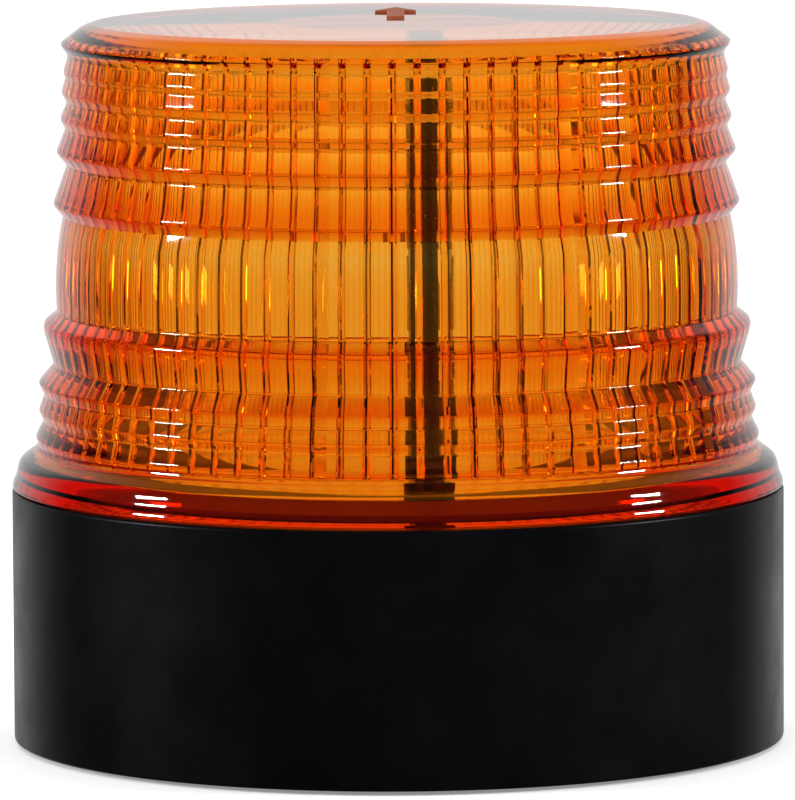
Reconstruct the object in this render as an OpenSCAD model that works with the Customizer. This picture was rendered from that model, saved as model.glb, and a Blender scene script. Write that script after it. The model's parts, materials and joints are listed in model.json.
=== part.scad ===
// Amber magnetic warning beacon: a fluted see-through lens on a round base that holds
// the battery, the driver board and the controls. Millimetres, +Z up. The origin is the
// centre of the underside, and the controls face +Y.

/* [Base] */
// Outer diameter of the base
base_d = 130; // [128:1:134]
// Height of the base's top rim above the surface that it rests on
base_h = 43; // [43:0.5:46]
// Wall of the base moulding
base_wall = 3.4; // [3:0.1:3.6]
// Radius of the base's outer edges
base_edge = 0.5; // [0.4:0.1:1.2]

/* [Lens] */
// Height of the lens above the base
lens_h = 78.5; // [78:0.5:84]
// Thickness of the smooth part of the lens wall, outside its flutes
lens_wall = 1.9; // [1.6:0.1:2.2]
// Angle that the lens turns to come free
lens_turn = 45; // [40:1:45]
// Height that the lens rises while it turns free
lens_rise = 2; // [1.6:0.1:2]

/* [LED tower] */
// Sideways offset of the tower from the axis
tower_x = 5.2; // [0:0.1:5.2]
// Width of the tower's heat sink plate
tower_w = 58; // [50:1:62]
// Height of the tower's top edge above the deck
tower_h = 69.4; // [66:0.2:70]
// LED columns on each board
led_cols = 4; // [2:1:5]
// LED rows on each board
led_rows = 6; // [3:1:7]

/* [Battery] */
// Diameter of a battery cell
cell_d = 18.4; // [18:0.1:18.4]
// Length of a battery cell
cell_len = 65.2; // [64:0.1:65.2]

/* [Magnets and foot] */
// Diameter of a holding magnet
magnet_d = 25; // [20:0.5:25]
// Thickness of a holding magnet
magnet_t = 5; // [3:0.5:5]
// Radius of the circle that the magnets stand on
magnet_ring_r = 36; // [34:0.5:36]

/* [Controls] */
// Diameter of a button cap
button_d = 8; // [7:0.1:8]
// Travel of a button
button_travel = 1.2; // [0.8:0.1:1.4]
// Bore of the charging socket
socket_bore = 5.6; // [5:0.1:5.6]

/* [Hidden] */
$fn = 96;

black_plastic = [0.06, 0.06, 0.07];
amber = [1.0, 0.45, 0.05, 0.6];
rubber = [0.12, 0.12, 0.12];
steel = [0.75, 0.76, 0.78];
board_green = [0.05, 0.35, 0.18];
white_plastic = [0.93, 0.93, 0.91];

// Overlap that joins two shapes of one moulding, and how far a cutter runs past a face
join = 0.5;
past = 1;
// Gap between two sealing or locating faces
face_gap = 0.1;

// Base
base_r = base_d / 2;
shell_in_r = base_r - base_wall;
shell_z = 0.6;
plate_z = 2;
plate_top = 5;
plate_r = shell_in_r - 0.4;
seal_t = 1.3;
low_ledge_z = plate_top + seal_t + 2 * face_gap;
low_ledge_t = 2.5;
ledge_w = 3.2;
deck_rim_z = 30;
deck_ledge_t = 2;

// Bottom plate
foot_r = base_r - 9.5;
foot_w = 5;
foot_seat = 0.6;
magnet_z = 0.4;
cup_roof_z = magnet_z + magnet_t + face_gap;
cup_top = 7.5;
boss_ring_r = 49;
boss_r = 4.5;
boss_z = 8.6;
bottom_screw_d = 2.8;

// Deck
deck_top = base_h + 0.6;
deck_t = 2.4;
deck_under = deck_top - deck_t;
spigot_in_r = shell_in_r - 4;
deck_r = spigot_in_r - 0.7;
deck_wall = 2.4;

// Lens spigot, its lugs and the base's ledges
spigot_r = spigot_in_r + 2;
spigot_z = 34.8;
lug_count = 4;
lug_r = shell_in_r - 0.4;
lug_t = 2;
lug_half = 8;
ledge_half = 20;
ledge_r = spigot_r + 0.3;
ledge_z = 39.2;
ledge_t = 2;
lug_gap = 0.15;
lug_z = ledge_z - (ledge_t + lug_t) / 2 - lug_gap;
lead = lens_rise * 360 / lens_turn;
lug_tilt = atan(lead / (2 * PI * lug_r));
seal_r = (spigot_r + shell_in_r) / 2;
seal_d = 1.7;

// Battery
cell_pitch = cell_d + 0.2;
cell_rows = 3;
tray_floor_z = cup_top;
tray_floor_t = 1.5;
cell_z = tray_floor_z + tray_floor_t + cell_d / 2 + face_gap;
tray_x = cell_len / 2 + 3.4;
tray_y = cell_rows * cell_pitch / 2 + 1.5;
tray_wall = 1.2;
tray_side_h = 11;
tray_ear = [40, 20];

// Boards
board_t = 1.6;
control_w = 66;
control_l = 44;
control_z = 32;
control_boss = [29, 18];

// Leads, and the sockets that they plug into as [x, y, angle that the mouth faces]:
// tower, battery plus, battery minus, switches, charging
lead_d = 1.3;
lead_gap = 0.9;
lead_start = 0.25;
connectors = [[tower_x, 18, 90], [27, -8, 0], [-27, 8, 180], [-5.5, 18, 90], [15, 18, 90]];
connector_h = 4.4;
wire_h = 2.9;
wire_z = control_z + board_t + wire_h;

// Control panel on the back of the base
panel_y = base_r - 4;
panel_in_y = panel_y - 5;
panel_z = 20;
panel_h = 19;
panel_w = 46;
power_x = -11.5;
mode_x = 0;
socket_x = 12;
light_x = 6;
light_z = 26.4;
button_y = panel_y + 2.2;
button_fit = 0.08;
flange_r = button_d / 2 + 1.2;
flange_t = 1;
flange_y = panel_y - 2.4;
stem_d = 3;
stem_y = 53;
switch_size = 6;
switch_board_y = 46.5;
switch_y = switch_board_y + board_t;
switch_depth = 3.5;
plunger_d = 3.4;
plunger_len = 2.4;
switch_post_x = (power_x + mode_x) / 2;
switch_post_z = 7.4;

// Charging socket and its cover
socket_d = 7.8;
socket_rim_d = 10.8;
socket_rim_t = 1.2;
socket_y = 46;
nut_t = 2.2;
cover_d = 12.4;
cover_t = 1.4;
cover_y = panel_y + socket_rim_t + face_gap;
knuckle_r = 1.4;
hinge_y = panel_y + knuckle_r + face_gap;
hinge_z = panel_z - 7.7;
hinge_pin_d = 1.6;

// LED tower
foot_h = 6.4;
sink_t = 1.6;
sink_tab = 38;
sink_z = deck_top + 2.4;
sink_top = deck_top + tower_h;
led_board_w = tower_w - 4;
led_board_z = deck_top + foot_h + 2;
led_board_h = sink_top - 1 - led_board_z;
led_size = 5.2;
led_t = 0.9;
plate_screw_at = [tower_w / 2 - 4.5, led_board_h / 2 - 3];
grommet_at = [tower_x, 26];

lens_gap = 0.3;
// Lens outline as [inset from the base's radius, height above the base].
// The flange, from its foot over its flared side and its slope up to the wall
flange_side = [
    [0.1, lens_gap], [0.1, 0.8], [0.3, 1.5], [0.75, 2.5], [0.95, 3.5],
    [1.15, 4.3], [1.6, 5.1], [3.1, 6.15], [4.6, 7.4]
];
// The small rings above the flange, from the bottom up, each a tip and the notch over it
low_rings = [[4.05, 8.9], [5.4, 11.6], [4.6, 13.4], [5.6, 16], [4.6, 18], [7.2, 21.1]];
// The tall flared ring under the bulge, with the bead on its lip
flared_ring = [[5.6, 26.6], [5.5, 27.5], [5.8, 28.3], [7.8, 29.9]];
// The louvres above the bulge, from the bottom up, each a tip and the notch over it
louvres = [
    [7.3, 48], [9.7, 54.6], [7.9, 56.7], [9.5, 60.7], [8.6, 62.3],
    [9.8, 65.1], [8.85, 66.7], [9.6, 69.2], [9.2, 70.1], [9.95, 72.6]
];
bulge_from = 30.6;
bulge_to = 46;
bulge_mid = 34;
bulge_inset = 7.65;
bulge_curve = 0.009;
crown = 0.3;
// The top edge, from the last notch round its tip and up its slope to the flat top
top_edge = [
    [9.8, lens_h - 5.1], [9, lens_h - 4.1], [8.85, lens_h - 3.5],
    [12.3, lens_h - 0.9], [14.1, lens_h - crown]
];
// Inside of the lens: over the solid flange, along the back of the flange's slope, up the
// wall through its three insets, and along the back of the top edge's slope
inset_1 = base_r - spigot_in_r;
inset_2 = bulge_inset + lens_wall;
inset_3 = 9.7 + lens_wall;
inner_wall = [
    [inset_1, 3.4], [3.5, 4.1], [6.4, 6.4], [inset_1, 8.2], [inset_1, 14.5],
    [inset_2, 21.5], [inset_2, 43], [inset_3, 49],
    [inset_3, lens_h - 3.8], [inset_3 + 1.6, lens_h - 2.6], [inset_3 + 3.1, lens_h - 2.1]
];

// Points of an arc from one angle to another
function arc(centre, rx, ry, from, to, steps) = [
    for (i = [0 : steps])
        let (a = from + (to - from) * i / steps)
        centre + [rx * cos(a), ry * sin(a)]
];

// An outline point from its inset and its height above the base
function at_lens(point) = [base_r - point[0], base_h + point[1]];

function bulge_outline(steps) = [
    for (i = [0 : steps])
        let (h = bulge_from + (bulge_to - bulge_from) * i / steps)
        at_lens([bulge_inset + bulge_curve * pow(h - bulge_mid, 2), h])
];

function lens_outline() = concat(
    [[0, base_h + lens_gap]],
    [for (point = flange_side) at_lens(point)],
    [for (point = low_rings) at_lens(point)],
    [for (point = flared_ring) at_lens(point)],
    bulge_outline(6),
    [for (point = louvres) at_lens(point)],
    [for (point = top_edge) at_lens(point)],
    [[0, base_h + lens_h]]
);

// Turns what is drawn along +X round the axis to count places, starting at first
module around(count, first = 0) {
    for (i = [0 : count - 1])
        rotate([0, 0, first + 360 * i / count])
            children();
}

// A flat ring between two radii
module ring(r_in, r_out, z, t) {
    translate([0, 0, z])
        difference() {
            cylinder(r = r_out, h = t);
            translate([0, 0, -past])
                cylinder(r = r_in, h = t + 2 * past);
        }
}

// A short ring stretch centred on +X, tilted so that it climbs as a thread does
module thread_piece(r_in, r_out, z, t, half) {
    translate([0, 0, z])
        rotate([lug_tilt, 0, 0])
            rotate([0, 0, -half])
                rotate_extrude(angle = 2 * half)
                    translate([r_in, -t / 2])
                        square([r_out - r_in, t]);
}

// Draws its children's +Z along +Y, at a place on the control panel
module on_panel(x, z) {
    translate([x, 0, z])
        rotate([-90, 0, 0])
            children();
}

// A bar along Y between two distances
module rod_y(x, z, d, from, to) {
    on_panel(x, z)
        translate([0, 0, from])
            cylinder(d = d, h = to - from);
}

// A plate with rounded upright edges, centred on Z
module rounded_plate(w, l, t, r) {
    linear_extrude(t)
        union() {
            square([w - 2 * r, l], center = true);
            square([w, l - 2 * r], center = true);
            for (x = [-1, 1], y = [-1, 1])
                translate([x * (w / 2 - r), y * (l / 2 - r)])
                    circle(r = r);
        }
}

// A pan-head screw that points down from the seat of its head at z = 0
module screw(d, len) {
    head_d = 1.9 * d;
    head_h = 0.65 * d;
    slot = 0.3 * d;
    difference() {
        union() {
            cylinder(d = head_d, h = head_h);
            translate([0, 0, -len])
                cylinder(d = d, h = len + head_h / 2);
        }
        for (a = [0, 90])
            rotate([0, 0, a])
                translate([-head_d / 3, -slot / 2, head_h / 2])
                    cube([head_d / 1.5, slot, head_h]);
    }
}

// A lead along a smooth curve through points; side is a direction that it never runs in
module lead_wire(points, d, side) {
    sides = 8;
    steps = 4;
    curve = smooth_curve(points, steps);
    last = len(curve) - 1;
    rings = [
        for (i = [0 : last])
            let (
                ahead = unit(curve[min(i + 1, last)] - curve[max(i - 1, 0)]),
                u = unit(cross(side, ahead)),
                v = cross(ahead, u)
            )
            for (k = [0 : sides - 1])
                curve[i] + d / 2 * (cos(360 * k / sides) * u + sin(360 * k / sides) * v)
    ];
    walls = [
        for (i = [0 : last - 1], k = [0 : sides - 1])
            let (a = i * sides + k, b = i * sides + (k + 1) % sides)
            [a, a + sides, b + sides, b]
    ];
    start = [for (k = [0 : sides - 1]) k];
    end = [for (k = [sides - 1 : -1 : 0]) last * sides + k];
    polyhedron(rings, concat([start], walls, [end]));
}

function unit(v) = v / norm(v);

// A point at t between b and c on the curve through a, b, c and d
function between(a, b, c, d, t) =
    b + 0.5 * t * (c - a + t * (2 * a - 5 * b + 4 * c - d + t * (3 * (b - c) + d - a)));

function smooth_curve(points, steps) =
    let (last = len(points) - 1)
    concat(
        [
            for (i = [0 : last - 1], k = [0 : steps - 1])
                between(
                    points[max(i - 1, 0)], points[i], points[i + 1],
                    points[min(i + 2, last)], k / steps
                )
        ],
        [points[last]]
    );

module shell_outline() {
    polygon(concat(
        [[shell_in_r, shell_z]],
        arc([base_r - base_edge, shell_z + base_edge], base_edge, base_edge, -90, 0, 4),
        arc([base_r - base_edge, base_h - base_edge], base_edge, base_edge, 0, 90, 4),
        [[shell_in_r, base_h]]
    ));
}

module base_shell() {
    color(black_plastic)
        difference() {
            union() {
                rotate_extrude()
                    shell_outline();
                ring(shell_in_r - ledge_w, shell_in_r + join, low_ledge_z, low_ledge_t);
                ring(shell_in_r - ledge_w, shell_in_r + join, deck_rim_z - deck_ledge_t, deck_ledge_t);
                around(lug_count)
                    thread_piece(ledge_r, shell_in_r + join, ledge_z, ledge_t, ledge_half);
                around(lug_count, -lug_half - 3)
                    thread_piece(ledge_r, shell_in_r + join, lug_z + 0.5, lug_t + 1, 1.5);
                panel_pad();
                button_well();
                switch_posts();
            }
            panel_cut();
            rod_cut(power_x, button_d + 2 * button_fit);
            rod_cut(mode_x, button_d + 2 * button_fit);
            counterbore(power_x);
            counterbore(mode_x);
            rod_cut(socket_x, socket_d + 0.2);
            rod_y(light_x, light_z, 2.8, switch_y, base_r);
        }
    color(black_plastic)
        hinge_ears();
}

// The thick flat pad inside the wall, behind the controls
module panel_pad() {
    intersection() {
        translate([-panel_w / 2, panel_in_y, low_ledge_z + join])
            cube([panel_w, base_r - panel_in_y, deck_rim_z - low_ledge_z - 2 * join]);
        cylinder(r = shell_in_r + join, h = deck_rim_z);
    }
}

// The block behind the buttons, which reaches almost to the switch board and keeps water out
module button_well() {
    well_h = 2 * (flange_r + 1.2);
    back_y = switch_y + 0.2;
    translate([power_x - well_h / 2, back_y, panel_z - well_h / 2])
        cube([mode_x - power_x + well_h, panel_in_y + join - back_y, well_h]);
}

// The flat recess outside, which the controls sit in
module panel_cut() {
    translate([-base_r, panel_y, panel_z - panel_h / 2])
        cube([base_d, base_r, panel_h]);
}

module rod_cut(x, d) {
    rod_y(x, panel_z, d, panel_in_y - past, base_r);
}

module counterbore(x) {
    rod_y(x, panel_z, 2 * flange_r + 0.4, switch_y, flange_y);
}

module switch_posts() {
    for (side = [-1, 1])
        difference() {
            rod_y(switch_post_x, panel_z + side * switch_post_z, 4.6, switch_y, panel_in_y + join);
            rod_y(switch_post_x, panel_z + side * switch_post_z, 1.9, switch_y - past, panel_in_y - 2);
        }
}

// Two ears on the panel that hold the cover's pin
module hinge_ears() {
    ear_t = 1.8;
    for (side = [-1, 1])
        difference() {
            translate([socket_x + side * 4 - ear_t / 2, 0, 0])
                union() {
                    translate([0, hinge_y, hinge_z])
                        rotate([0, 90, 0])
                            cylinder(r = knuckle_r, h = ear_t);
                    translate([0, panel_y - join, hinge_z - knuckle_r])
                        cube([ear_t, hinge_y - panel_y + join, 2 * knuckle_r]);
                }
            hinge_bore(hinge_pin_d + 0.04);
        }
}

module hinge_bore(d) {
    translate([socket_x - panel_w / 4, hinge_y, hinge_z])
        rotate([0, 90, 0])
            cylinder(d = d, h = panel_w / 2);
}

module bottom_plate() {
    color(black_plastic)
        difference() {
            union() {
                translate([0, 0, plate_z])
                    cylinder(r = plate_r, h = plate_top - plate_z);
                around(4)
                    translate([magnet_ring_r, 0, plate_z])
                        cylinder(d = magnet_d + 4, h = cup_top - plate_z);
                around(4, 45)
                    translate([boss_ring_r, 0, plate_z])
                        cylinder(r = boss_r, h = boss_z - 0.2 - plate_z);
                tray_points()
                    translate([0, 0, plate_z])
                        cylinder(d = 5.6, h = cup_top - plate_z);
            }
            around(4)
                translate([magnet_ring_r, 0, plate_z - past])
                    cylinder(d = magnet_d + 0.4, h = cup_roof_z - plate_z + past);
            around(4, 45) {
                translate([boss_ring_r, 0, plate_z - past])
                    cylinder(d = 2.2 * bottom_screw_d, h = 2.4 + past);
                translate([boss_ring_r, 0, 0])
                    cylinder(d = bottom_screw_d + 0.4, h = boss_z + past);
            }
            tray_points()
                translate([0, 0, plate_z + 1])
                    cylinder(d = 1.9, h = cup_top);
            ring(foot_r - foot_w / 2 - 0.1, foot_r + foot_w / 2 + 0.1, plate_z - past, foot_seat + past);
        }
}

// The four places where the battery tray is screwed down
module tray_points() {
    for (x = [-1, 1], y = [-1, 1])
        translate([x * tray_ear[0], y * tray_ear[1], 0])
            children();
}

module bottom_seal() {
    color(rubber)
        ring(shell_in_r - 2.8, plate_r - 0.1, plate_top + face_gap, seal_t);
}

module bottom_screws() {
    color(steel)
        around(4, 45)
            translate([boss_ring_r, 0, plate_z + 2.4])
                rotate([180, 0, 0])
                    screw(bottom_screw_d, 17);
}

module foot_ring() {
    groove_r = 0.5;
    color(rubber)
        difference() {
            ring(foot_r - foot_w / 2, foot_r + foot_w / 2, 0, plate_z + foot_seat);
            rotate_extrude()
                translate([foot_r, 0])
                    circle(r = groove_r);
        }
}

module magnet(index) {
    color(steel)
        rotate([0, 0, 90 * index])
            translate([magnet_ring_r, 0, magnet_z])
                difference() {
                    cylinder(d = magnet_d, h = magnet_t);
                    translate([0, 0, -past])
                        cylinder(d = 4.2, h = 1.6 + past);
                }
}

module battery_tray() {
    ridge_h = 3.5;
    color(black_plastic)
        difference() {
            translate([0, 0, tray_floor_z])
                union() {
                    rounded_plate(2 * tray_x, 2 * tray_y, tray_floor_t, 2);
                    for (y = [-1, 1])
                        translate([0, y * tray_ear[1], 0])
                            rounded_plate(2 * tray_ear[0] + 7, 7, tray_floor_t, 3);
                    for (y = [-1, 1])
                        translate([-tray_x, y * (tray_y - tray_wall / 2) - tray_wall / 2, 0])
                            cube([2 * tray_x, tray_wall, tray_side_h]);
                    for (x = [-1, 1])
                        translate([x * (tray_x - tray_wall / 2) - tray_wall / 2, -tray_y, 0])
                            cube([tray_wall, 2 * tray_y, tray_side_h + 3]);
                    for (y = [-1, 1])
                        translate([-tray_x + join, y * cell_pitch / 2 - 0.8, 0])
                            cube([2 * (tray_x - join), 1.6, tray_floor_t + ridge_h]);
                }
            tray_points()
                cylinder(d = 2.3, h = base_h);
        }
}

module tray_screws() {
    color(steel)
        tray_points()
            translate([0, 0, tray_floor_z + tray_floor_t])
                screw(1.8, 5.5);
}

module battery_cell(index) {
    cap_d = 6.4;
    flip = index % 2 == 0 ? 0 : 180;
    can = cell_len - 1.2;
    color([0.15, 0.4, 0.75])
        translate([0, (index - 2) * cell_pitch, cell_z])
            rotate([0, 0, flip])
                rotate([0, 90, 0])
                    union() {
                        translate([0, 0, -cell_len / 2])
                            rotate_extrude()
                                polygon([
                                    [0, 0], [cell_d / 2 - 0.5, 0], [cell_d / 2, 0.5],
                                    [cell_d / 2, can - 0.5], [cell_d / 2 - 0.5, can], [0, can]
                                ]);
                        cylinder(d = cap_d, h = cell_len / 2);
                    }
}

module battery_contacts() {
    strip_t = 0.3;
    gap = tray_x - tray_wall - cell_len / 2;
    color(steel)
        for (end = [-1, 1]) {
            for (i = [-1 : 1])
                translate([end * (tray_x - tray_wall - strip_t / 2), i * cell_pitch, cell_z])
                    cube([strip_t, cell_d - 6, cell_d - 8], center = true);
            for (i = [-1 : 1])
                translate([end * (cell_len / 2 + gap / 2), i * cell_pitch, cell_z])
                    rotate([0, 90, 0])
                        cylinder(d = 4.4, h = gap - 0.16, center = true);
            translate([
                end * (tray_x - tray_wall - strip_t / 2), end * cell_pitch / 2, cell_z
            ])
                cube([strip_t, cell_pitch, 3], center = true);
        }
}

module battery_clip() {
    clip_w = 12;
    clip_t = 0.9;
    top = cell_z + cell_d / 2 + 0.1;
    reach = tray_y + 0.1;
    color(steel)
        difference() {
            translate([-clip_w / 2, -reach - clip_t, tray_floor_z + 3])
                cube([clip_w, 2 * (reach + clip_t), top + clip_t - tray_floor_z - 3]);
            translate([-clip_w, -reach, 0])
                cube([2 * clip_w, 2 * reach, top]);
            translate([0, 0, top - 1])
                cylinder(d = 6, h = 4);
        }
}

module deck_outline() {
    polygon([
        [deck_r - deck_wall, deck_rim_z], [plate_r, deck_rim_z], [plate_r, deck_rim_z + deck_wall],
        [deck_r, deck_rim_z + deck_wall], [deck_r, deck_top - 0.8], [deck_r - 0.8, deck_top],
        [0, deck_top], [0, deck_under], [deck_r - deck_wall, deck_under]
    ]);
}

module deck_plate() {
    color(white_plastic)
        difference() {
            union() {
                rotate_extrude()
                    deck_outline();
                around(4, 45)
                    translate([boss_ring_r, 0, boss_z])
                        cylinder(r = boss_r, h = deck_under - boss_z + join);
                board_points()
                    translate([0, 0, control_z + board_t])
                        cylinder(d = 6, h = deck_under - control_z - board_t + join);
            }
            around(4, 45)
                translate([boss_ring_r, 0, boss_z - past])
                    cylinder(d = bottom_screw_d + 0.1, h = 14 + past);
            board_points()
                translate([0, 0, control_z])
                    cylinder(d = 2.3, h = 7);
            tower_screw_points()
                translate([0, 0, deck_under - past])
                    cylinder(d = 3.2, h = deck_t + 2 * past);
            translate([grommet_at[0], grommet_at[1], deck_under - past])
                cylinder(d = 7, h = deck_t + 2 * past);
        }
}

module board_points() {
    for (x = [-1, 1], y = [-1, 1])
        translate([x * control_boss[0], y * control_boss[1], 0])
            children();
}

module tower_screw_points() {
    for (y = [-1, 1])
        translate([tower_x, y * 14, 0])
            children();
}

module control_board() {
    color(board_green)
        difference() {
            translate([0, 0, control_z])
                rounded_plate(control_w, control_l, board_t, 2);
            board_points()
                translate([0, 0, control_z - past])
                    cylinder(d = 2.4, h = board_t + 2 * past);
        }
}

module board_screws() {
    color(steel)
        board_points()
            translate([0, 0, control_z])
                rotate([180, 0, 0])
                    screw(2.2, 7);
}

// A block on the control board's top side
module on_board(x, y) {
    translate([x, y, control_z + board_t])
        children();
}

module driver_chips() {
    chip_h = 1.6;
    color([0.1, 0.1, 0.1]) {
        on_board(-12, -4)
            rounded_plate(8, 8, chip_h, 0.4);
        on_board(-12, 10)
            rounded_plate(5, 6, chip_h, 0.4);
        on_board(14, 2)
            rounded_plate(6, 5, chip_h, 0.4);
    }
}

module driver_coil() {
    color([0.25, 0.25, 0.27])
        on_board(18, -12)
            union() {
                rounded_plate(11, 11, 1.2, 2);
                cylinder(d = 10, h = 4.6);
            }
}

module driver_capacitors() {
    color([0.2, 0.2, 0.35])
        for (x = [-22.5, -15.5])
            on_board(x, -14)
                union() {
                    translate([0, 0, 0.6])
                        cylinder(d = 6.3, h = 5.4);
                    rounded_plate(6.6, 6.6, 0.8, 0.8);
                }
}

module board_connectors() {
    color(white_plastic)
        for (at = connectors)
            on_board(at[0], at[1])
                rotate([0, 0, at[2]])
                    difference() {
                        rounded_plate(4.4, 6.4, connector_h, 0.4);
                        for (y = [-lead_gap, lead_gap])
                            translate([0.6, y, wire_h])
                                rotate([0, 90, 0])
                                    cylinder(d = lead_d + 0.2, h = 4);
                    }
}

module switch_board() {
    color(board_green)
        difference() {
            translate([power_x - 5, switch_board_y, panel_z - 10])
                cube([mode_x - power_x + 10, board_t, 20]);
            for (side = [-1, 1])
                rod_y(switch_post_x, panel_z + side * switch_post_z, 2, switch_board_y - past, switch_y + past);
        }
}

module switch_screws() {
    color(steel)
        for (side = [-1, 1])
            on_panel(switch_post_x, panel_z + side * switch_post_z)
                translate([0, 0, switch_board_y])
                    rotate([180, 0, 0])
                        screw(1.8, 5);
}

module push_switch(x) {
    color([0.15, 0.15, 0.15])
        difference() {
            translate([x - switch_size / 2, switch_y, panel_z - switch_size / 2])
                cube([switch_size, switch_depth, switch_size]);
            rod_y(x, panel_z, plunger_d + 0.1, switch_y + 0.6, switch_y + switch_depth + past);
        }
}

module plunger(x) {
    color([0.85, 0.85, 0.85])
        rod_y(x, panel_z, plunger_d, stem_y - face_gap - plunger_len, stem_y - face_gap);
}

module push_button(x) {
    color([0.75, 0.1, 0.08])
        on_panel(x, panel_z)
            rotate_extrude()
                polygon(concat(
                    [
                        [0, stem_y], [stem_d / 2, stem_y], [stem_d / 2, flange_y - flange_t - 0.05],
                        [flange_r, flange_y - flange_t - 0.05], [flange_r, flange_y - 0.05],
                        [button_d / 2, flange_y - 0.05]
                    ],
                    arc([button_d / 2 - 0.7, button_y - 0.7], 0.7, 0.7, 0, 90, 4),
                    [[0, button_y - 0.2]]
                ));
}

module charge_socket() {
    color([0.1, 0.1, 0.1])
        difference() {
            union() {
                rod_y(socket_x, panel_z, socket_d, socket_y, panel_y + socket_rim_t);
                rod_y(socket_x, panel_z, socket_rim_d, panel_y, panel_y + socket_rim_t);
            }
            rod_y(socket_x, panel_z, socket_bore, panel_y - 9, base_r);
        }
    color(steel)
        rod_y(socket_x, panel_z, 2, panel_y - 9 - join, panel_y - 0.6);
}

module socket_nut() {
    color(steel)
        difference() {
            on_panel(socket_x, panel_z)
                translate([0, 0, panel_in_y - nut_t])
                    rotate([0, 0, 30])
                        cylinder(d = 12, h = nut_t, $fn = 6);
            rod_y(socket_x, panel_z, socket_d + 0.1, panel_in_y - nut_t - past, panel_in_y + past);
        }
}

module port_cover() {
    tab_w = 5.4;
    color(rubber)
        difference() {
            union() {
                rod_y(socket_x, panel_z, cover_d, cover_y, cover_y + cover_t);
                rod_y(socket_x, panel_z, socket_bore - 0.6, cover_y - 0.9, cover_y + join);
                translate([socket_x - tab_w / 2, cover_y, hinge_z])
                    cube([tab_w, cover_t, cover_d / 2]);
                translate([socket_x - tab_w / 2, hinge_y, hinge_z])
                    rotate([0, 90, 0])
                        cylinder(r = knuckle_r, h = tab_w);
                translate([socket_x - 2, cover_y, panel_z + cover_d / 2 - 1])
                    cube([4, cover_t, 2.4]);
            }
            hinge_bore(hinge_pin_d + 0.12);
        }
}

module cover_pin() {
    color(steel)
        translate([socket_x - 5, hinge_y, hinge_z])
            rotate([0, 90, 0])
                cylinder(d = hinge_pin_d, h = 10);
}

module charge_light() {
    color([0.9, 0.95, 0.9])
        rod_y(light_x, light_z, 2.6, panel_in_y - 3, panel_y + 0.5);
}

module tower_foot() {
    foot_w = 8.4;
    front = -tower_w / 2;
    back = sink_tab / 2 + 1.5;
    color(black_plastic)
        difference() {
            translate([tower_x, (front + back) / 2, deck_top])
                rounded_plate(foot_w, back - front, foot_h, 1.5);
            translate([tower_x - sink_t / 2 - 0.05, -sink_tab / 2 - 0.05, sink_z - 0.05])
                cube([sink_t + 0.1, sink_tab + 0.1, foot_h]);
            tower_screw_points()
                translate([0, 0, deck_top - past])
                    cylinder(d = 2.6, h = sink_z - deck_top - 0.4 + past);
        }
}

module tower_screws() {
    color(steel)
        tower_screw_points()
            translate([0, 0, deck_under])
                rotate([180, 0, 0])
                    screw(2.5, 3.9);
}

module heat_sink() {
    color(steel)
        difference() {
            translate([tower_x - sink_t / 2, -tower_w / 2, led_board_z - 1])
                cube([sink_t, tower_w, sink_top - led_board_z + 1]);
            plate_holes();
        }
    color(steel)
        translate([tower_x - sink_t / 2, -sink_tab / 2, sink_z])
            cube([sink_t, sink_tab, led_board_z - sink_z]);
}

// The four screw places through the boards and the plate, along X
module plate_points() {
    middle = led_board_z + led_board_h / 2;
    for (y = [-1, 1], z = [-1, 1])
        translate([tower_x, y * (plate_screw_at[0] - 1), middle + z * plate_screw_at[1]])
            rotate([0, 90, 0])
                children();
}

module plate_holes() {
    plate_points()
        cylinder(d = 2.3, h = 3 * board_t + sink_t, center = true);
}

module led_board(side) {
    x = side < 0 ? tower_x - sink_t / 2 - board_t : tower_x + sink_t / 2;
    color(white_plastic)
        difference() {
            translate([x, -led_board_w / 2, led_board_z])
                cube([board_t, led_board_w, led_board_h]);
            plate_holes();
        }
}

module leds(side) {
    face = sink_t / 2 + board_t;
    pitch_y = (led_board_w - 14) / led_cols;
    pitch_z = (led_board_h - 4) / led_rows;
    middle = led_board_z + led_board_h / 2;
    color([0.95, 0.85, 0.35])
        for (i = [0 : led_cols - 1], k = [0 : led_rows - 1])
            translate([
                tower_x + side * (face + led_t / 2),
                (i - (led_cols - 1) / 2) * pitch_y,
                middle + (k - (led_rows - 1) / 2) * pitch_z
            ])
                cube([led_t, led_size, led_size], center = true);
}

module plate_screws() {
    head = sink_t / 2 + board_t;
    color(steel)
        plate_points()
            union() {
                translate([0, 0, head])
                    screw(2.2, 2 * head);
                translate([0, 0, -head - 1.2])
                    cylinder(d = 4.4, h = 1.2, $fn = 6);
            }
}

module wire_grommet() {
    color(rubber)
        translate([grommet_at[0], grommet_at[1], 0])
            difference() {
                union() {
                    translate([0, 0, deck_under - 1])
                        cylinder(d = 6.8, h = deck_t + 2);
                    translate([0, 0, deck_under - 1])
                        cylinder(d = 9, h = 0.9);
                    translate([0, 0, deck_top + 0.1])
                        cylinder(d = 9, h = 0.9);
                }
                translate([0, 0, deck_under - 1 - past])
                    cylinder(d = 4.4, h = deck_t + 2 + 2 * past);
            }
}

// Two leads along X, side by side. Each point is [x, y, z, half the gap between the leads]
module lead_pair(points) {
    color([0.8, 0.1, 0.1])
        for (s = [-1, 1])
            lead_wire([for (p = points) [p[0] + s * p[3], p[1], p[2]]], lead_d, [1, 0, 0]);
}

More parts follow.
